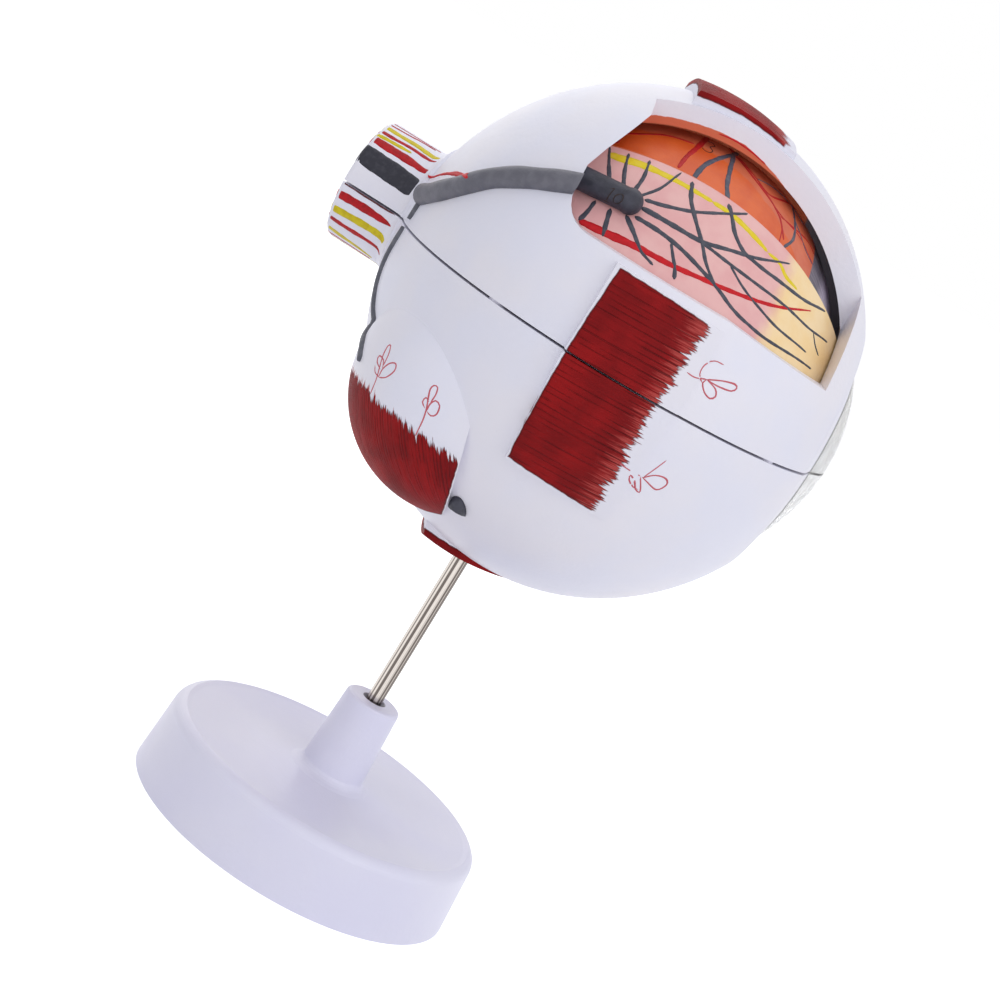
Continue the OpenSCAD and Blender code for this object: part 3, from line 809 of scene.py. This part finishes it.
def vein_tube():
    """The raised vein as one smooth tube with an oval section, cut off level at the window's rear wall."""
    path = [Vector(p) for p in VEIN_PATH]
    line = [p / math.sqrt(sum((c / a) ** 2 for c, a in zip(p, AXES))) for p in spline(path)]
    line = [p for p in line[5:] if p.y > WINDOW_REAR - 1.0]
    n, sides = len(line), 20
    normals = [Vector([c / a / a for c, a in zip(p, AXES)]).normalized() for p in line]
    verts, faces = [], []
    for i in range(n):
        here = line[i] + GLOBE + normals[i] * VEIN_RISE
        ahead = (line[min(i + 1, n - 1)] - line[max(i - 1, 0)]).normalized()
        across = ahead.cross(normals[i]).normalized()
        full = min(1.0, 0.45 + 0.55 * math.sqrt(i / 4)) * (1 + 0.025 * math.sin(i * 0.31))
        for s in range(sides):
            a = s / sides * math.tau
            aside = across * (math.cos(a) * VEIN_HALF_WIDTH * full)
            p = here + aside + normals[i] * (math.sin(a) * VEIN_HALF_HEIGHT * full)
            if p.y - GLOBE.y < WINDOW_REAR:
                p -= ahead * ((p.y - GLOBE.y - WINDOW_REAR) / ahead.y)
            verts.append(p)
    add_tube(faces, 0, n, sides)
    faces.append(tuple(reversed(range(sides))))
    faces.append(tuple((n - 1) * sides + j for j in range(sides)))
    obj = build("vortex_vein_tube", verts, faces, vein_grey, "upper_half")
    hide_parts("vortex_vein_upper")
    replaced["vortex_vein_upper"] = obj


vein_tube()

LAID = {  # group: (surface, paint, body, record's slot, paint's height in millimetres)
    "veins_on_pink": (("choroid_upper",), slate_paint, "inner_upper", "vein_paint", 0.07),
    "veins_on_orange": (("retina_upper",), blue_slate_paint, "inner_upper", "vein_paint", 0.07),
    "arteries_on_orange": (("retina_upper",), deep_red_paint, "inner_upper", "muscle_paint", 0.04),
    "arteries_on_wall": (("sclera_upper",), red_paint, "upper_half", "muscle_paint", 0.04),
    "nerves_on_pink": (("choroid_upper",), yellow_paint, "inner_upper", "nerve_core_paint", 0.03),
    "arteries_on_pink": (("choroid_upper",), red_paint, "inner_upper", "muscle_paint", 0.045),
    "loops_upper": (("sclera_upper", "lateral_rectus_upper"), pen_red, "upper_half", "muscle_paint", 0.03),
    "loops_lower": (("sclera_lower", "lateral_rectus_lower"), pen_red, "lower_half", "muscle_paint", 0.03),
    "loops_oblique": (("sclera_lower", "inferior_oblique"), pen_red, "lower_half", "muscle_paint", 0.03),
    "artery_at_root": (
        ("sclera_upper", "nerve_sheath_upper", "vortex_vein_upper"),
        red_paint, "upper_half", "muscle_paint", 0.10),
    "root_vein_upper": (("sclera_upper", "nerve_sheath_upper"), grey_paint, "upper_half", "vein_paint", 0.55),
    "figures_on_orange": (("retina_upper",), pen_dark, "inner_upper", "vein_paint", 0.03),
    "figures_on_vein": (("vortex_vein_inner",), pen_dark, "upper_half", "vein_paint", 0.03),
}
for group, (crop, rows) in STROKES.items():
    names, material, body, slot, proud = LAID[group]
    tree = surface(*names)
    rng = random.Random(group)
    verts, faces = [], []
    for widths, places in rows:
        pairs = [place.split(",") for place in places.split()]
        spots = [land(tree, *on_photo(crop, float(x), float(y))) for x, y in pairs]
        add_stroke(verts, faces, tree, spots, widths, rng, proud, sides=8 if proud > 0.2 else 4)
    build(group, verts, faces, material, body)

# The thin vein that runs on below the seam, over the globe and onto the lower oblique muscle's root, from
# the globe's centre.
ROOT_VEIN = (
    (-8.7, 38.6, -0.3), (-8.3, 38.7, -1.8), (-7.5, 38.7, -4.0), (-6.6, 38.5, -7.0), (-6.9, 37.9, -10.5),
    (-9.2, 37.0, -13.6), (-13.4, 36.0, -16.4), (-18.3, 35.3, -18.2), (-20.9, 34.5, -20.1))
verts, faces = [], []
tree = surface("sclera_lower", "nerve_sheath_lower", "inferior_oblique")
spots = [GLOBE + Vector(p) for p in ROOT_VEIN]
add_stroke(verts, faces, tree, spots, (1.2, 1.2, 1.25, 1.3), random.Random(5), 0.55, sides=8)
build("root_vein_lower", verts, faces, grey_paint, "lower_half")


def on_nerve(angle, along):
    """A point of the nerve stub's outside, along being its distance from the globe's centre.

    The angle is 0 on the temple side and 90 on top.
    """
    side = Vector((-math.cos(NERVE_TILT), math.sin(NERVE_TILT), 0))
    a, r = math.radians(angle), NERVE_R - max(0, along - NERVE_BEVEL)
    middle = GLOBE + Vector((0, 0, NERVE_RISE)) + NERVE_AXIS * along
    return middle + (side * math.cos(a) + Vector((0, 0, math.sin(a)))) * r


# Stripes from the nerve's end towards its root: paint, widths, and angle and distance of each point.
STRIPES = [
    ("red", (0.25, 0.3, 0.25), (79.3, 49.6, 80.5, 44.8, 81, 40)),
    ("red", (0.4, 0.45, 0.35), (71.7, 49.6, 74.2, 45.7, 77, 43.2, 77.5, 40.8)),
    ("red", (0.7, 0.8, 0.65, 0.85, 0.4), (55, 49.6, 55.5, 46.7, 57, 43.7, 56.3, 40.8, 56.7, 38.6)),
    ("red", (1.4, 1.55, 1.6, 1.6, 1.2, 0.6),
     (42.7, 49.6, 42.5, 46.6, 42.8, 44.2, 42.5, 41.7, 41.6, 39.8, 41, 38.3)),
    ("yellow", (1.0, 1.1, 1.15, 1.3, 0.9), (64.1, 49.6, 64.1, 46.2, 65, 43.5, 63.4, 40.5, 63.5, 38.6)),
    ("yellow", (0.7, 0.8, 0.5), (48.7, 49.6, 50.2, 46.5, 51.5, 43)),
    ("slate", (3.4, 3.6, 3.7, 3.7, 3.5, 3.1),
     (25.6, 49.6, 24.6, 46.8, 24.1, 43.6, 23.2, 40.8, 22.2, 38.8, 22.1, 37.2)),
    ("seam", (0.3, 0.45, 0.45, 0.4), (-5.7, 49.0, -5.7, 46.2, -5.7, 41.6, -5.7, 38.8)),
    ("red", (1.2, 1.45, 1.45, 1.4, 1.1, 0.3),
     (-17, 49.6, -16, 46.9, -15.6, 43.8, -15.8, 41.7, -16, 39.9, -16, 38.8)),
    ("red", (0.7, 0.9, 0.95, 0.8, 0.5, 0.3),
     (-43, 49.6, -44, 46, -43.6, 42.5, -44.6, 40, -49, 38.9, -57, 38.4)),
    ("yellow", (1.25, 1.35, 1.4, 1.35, 1.0),
     (-32, 49.6, -30.8, 46.3, -29.8, 42.6, -30.5, 40.1, -35.4, 38.3)),
    ("yellow", (1.15, 1.2, 1.0, 0.6), (-57.5, 49.6, -61, 46.6, -63, 43.4, -67, 40.5)),
    ("red", (0.4, 0.5, 0.4), (-70, 49.6, -71.5, 45, -73, 41)),
    ("yellow", (0.8, 0.9, 0.7), (-82, 49.6, -83, 44, -82, 39)),
    ("red", (0.8, 1.1, 0.9), (-94, 49.6, -93, 44, -94, 39)),
    ("yellow", (0.8, 1.1, 0.8), (103, 49.6, 104, 44, 103, 39)),
    ("red", (0.9, 1.1, 0.6), (117, 49.6, 116, 44, 117.5, 39.2)),
    ("slate", (3.2, 3.3, 3.1), (141, 49.6, 142, 44, 141, 38)),
    ("yellow", (1.1, 1.2, 0.8), (163, 49.6, 162, 44, 163.5, 39.2)),
    ("red", (0.9, 1.0, 0.6), (175, 49.6, 174, 44, 175, 39.4)),
    ("red", (1.2, 1.3, 0.7), (-162, 49.6, -161, 44, -162, 39)),
    ("yellow", (1.2, 1.3, 0.8), (-145, 49.6, -146, 44, -145, 38.8)),
    ("red", (0.9, 1.0, 0.6), (-128, 49.6, -127, 44, -128, 39.2)),
    ("yellow", (1.0, 1.1, 0.7), (-111, 49.6, -112, 44, -111, 39)),
]
STRIPE_PAINT = {  # paint, record's slot, paint's height in millimetres
    "red": (nerve_red_paint, "muscle_paint", 0.06),
    "yellow": (nerve_yellow_paint, "nerve_core_paint", 0.045),
    "slate": (dark_slate_paint, "vein_paint", 0.08),
    "seam": (seam_red_paint, "muscle_paint", 0.04),
}
for half in ("upper", "lower"):
    tree = surface(f"nerve_sheath_{half}", f"sclera_{half}")
    for tone, (material, slot, proud) in STRIPE_PAINT.items():
        rng = random.Random(half + tone)
        verts, faces = [], []
        for kind, widths, spots in STRIPES:
            above = NERVE_RISE + NERVE_R * math.sin(math.radians(spots[0])) > 0
            if kind == tone and above == (half == "upper"):
                line = [on_nerve(a, along) for a, along in zip(spots[::2], spots[1::2])]
                add_stroke(verts, faces, tree, line, widths, rng, proud, sides=8, blunt=True)
        if verts:
            build(f"nerve_stripes_{tone}_{half}", verts, faces, material, f"{half}_half")


STUB_Z, STUB_BELOW = -31.3, 0.5  # its place, from the globe's centre, and its flat underside below that
STUB_HALF_WIDTH, STUB_HALF_LENGTH, STUB_HEIGHT = 1.6, 2.9, 1.5
STUB_R, STUB_GAP = 1.75, 0.1  # radius of the solid that it stands for, and that solid's gap to the cut


def stub_dome():
    """The vein's stub beside the lower oblique muscle: a dome up the slope, cut off level underneath."""
    z = STUB_Z
    y = CUT_Y + (z - CUT_Z) * math.tan(CUT_LEAN) - STUB_R / math.cos(CUT_LEAN) - STUB_GAP
    at = Vector((-AXES.x * math.sqrt(1 - (z / AXES.z) ** 2 - (y / AXES.y) ** 2), y, z))
    out = Vector([c / a / a for c, a in zip(at, AXES)]).normalized()
    level = out.cross(Vector((0, 0, 1))).normalized()
    rise = level.cross(out)
    rise *= 1 if rise.z > 0 else -1
    verts, faces, n, m = [], [], 28, 9
    for j in range(m):
        b = math.radians(96 * j / (m - 1))
        for i in range(n):
            a = math.tau * i / n
            aside = level * (STUB_HALF_WIDTH * math.sin(b) * math.cos(a))
            along = rise * (STUB_HALF_LENGTH * math.sin(b) * math.sin(a))
            p = at + aside + along + out * (0.05 + STUB_HEIGHT * math.cos(b))
            p.z = max(p.z, z - STUB_BELOW)
            verts.append(p + GLOBE)
    add_tube(faces, n, m - 1, n)
    faces.append(tuple(n + i for i in reversed(range(n))))
    faces.append(tuple((m - 1) * n + i for i in range(n)))
    obj = build("vortex_vein_stub", verts, faces, slate, "lower_half")
    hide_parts("vortex_vein_lower")


stub_dome()


# ---------------------------------------------------------------- floor, light and world
def seen_directly(tree, light_path):
    """1 for rays from the camera and for rays that gloss or clear plastic sends on, else 0."""
    first, second = (tree.nodes.new("ShaderNodeMath") for _ in range(2))
    first.operation = second.operation = "MAXIMUM"
    tree.links.new(light_path.outputs["Is Camera Ray"], first.inputs[0])
    tree.links.new(light_path.outputs["Is Glossy Ray"], first.inputs[1])
    tree.links.new(first.outputs[0], second.inputs[0])
    tree.links.new(light_path.outputs["Is Transmission Ray"], second.inputs[1])
    return second


def floor_material():
    """Matte pale ground that glows where it is seen directly, so that it reads as plain white."""
    material = bpy.data.materials.new("floor_white")
    material.use_nodes = True
    tree = material.node_tree
    tree.nodes.clear()
    matte = tree.nodes.new("ShaderNodeBsdfDiffuse")
    matte.inputs["Color"].default_value = (0.86, 0.86, 0.87, 1)
    glow = tree.nodes.new("ShaderNodeEmission")
    glow.inputs["Color"].default_value = (1, 1, 1, 1)
    seen = seen_directly(tree, tree.nodes.new("ShaderNodeLightPath"))
    gain = tree.nodes.new("ShaderNodeMath")
    gain.operation = "MULTIPLY"
    gain.inputs[1].default_value = 0.68
    tree.links.new(seen.outputs[0], gain.inputs[0])
    tree.links.new(gain.outputs[0], glow.inputs["Strength"])
    both = tree.nodes.new("ShaderNodeAddShader")
    tree.links.new(matte.outputs[0], both.inputs[0])
    tree.links.new(glow.outputs[0], both.inputs[1])
    out = tree.nodes.new("ShaderNodeOutputMaterial")
    tree.links.new(both.outputs[0], out.inputs[0])
    return material


FLOOR = 6  # half the floor's width, in metres
floor_mesh = bpy.data.meshes.new("floor")
corners = [(-FLOOR, -FLOOR, 0), (FLOOR, -FLOOR, 0), (FLOOR, FLOOR, 0), (-FLOOR, FLOOR, 0)]
floor_mesh.from_pydata(corners, [], [(0, 1, 2, 3)])
floor_mesh.materials.append(floor_material())
floor = bpy.data.objects.new("floor", floor_mesh)
bpy.context.scene.collection.objects.link(floor)


def sky():
    """A soft bluish light from all sides that shows as plain white behind the object."""
    world = bpy.data.worlds.new("world")
    bpy.context.scene.world = world
    world.use_nodes = True
    tree = world.node_tree
    tree.nodes.clear()
    light = tree.nodes.new("ShaderNodeBackground")
    light.inputs["Color"].default_value = (0.93, 0.94, 1.0, 1)
    light.inputs["Strength"].default_value = 0.42
    plain = tree.nodes.new("ShaderNodeBackground")
    plain.inputs["Color"].default_value = (1, 1, 1, 1)
    seen = seen_directly(tree, tree.nodes.new("ShaderNodeLightPath"))
    pick = tree.nodes.new("ShaderNodeMixShader")
    tree.links.new(seen.outputs[0], pick.inputs[0])
    tree.links.new(light.outputs[0], pick.inputs[1])
    tree.links.new(plain.outputs[0], pick.inputs[2])
    out = tree.nodes.new("ShaderNodeOutputWorld")
    tree.links.new(pick.outputs[0], out.inputs[0])


sky()


def lamp(name, place, aim, size, power, tint=(1, 1, 1)):
    """A soft square lamp. Places are metres in the row frame."""
    data = bpy.data.lights.new(name, "AREA")
    data.shape, data.size, data.energy, data.color = "SQUARE", size, power, tint
    obj = bpy.data.objects.new(name, data)
    bpy.context.scene.collection.objects.link(obj)
    obj.location = place
    obj.rotation_mode = "QUATERNION"
    obj.rotation_quaternion = (Vector(aim) - Vector(place)).to_track_quat("-Z", "Y")


lamp("key", (-0.85, -0.42, 0.50), (0, 0, 0.09), 0.9, 3.0, (0.97, 0.98, 1.0))
lamp("fill_nerve_side", (-0.60, 0.62, 0.50), (0, 0, 0.09), 0.8, 1.4)
lamp("front", (-0.25, -0.95, 0.30), (0, 0, 0.09), 0.8, 1.5)
lamp("top", (0.05, 0.0, 0.95), (0, 0, 0.08), 0.9, 2.1)
lamp("back", (0.7, 0.3, 0.5), (0, 0, 0.08), 0.8, 1.8)

bpy.context.scene.view_settings.view_transform = "Standard"
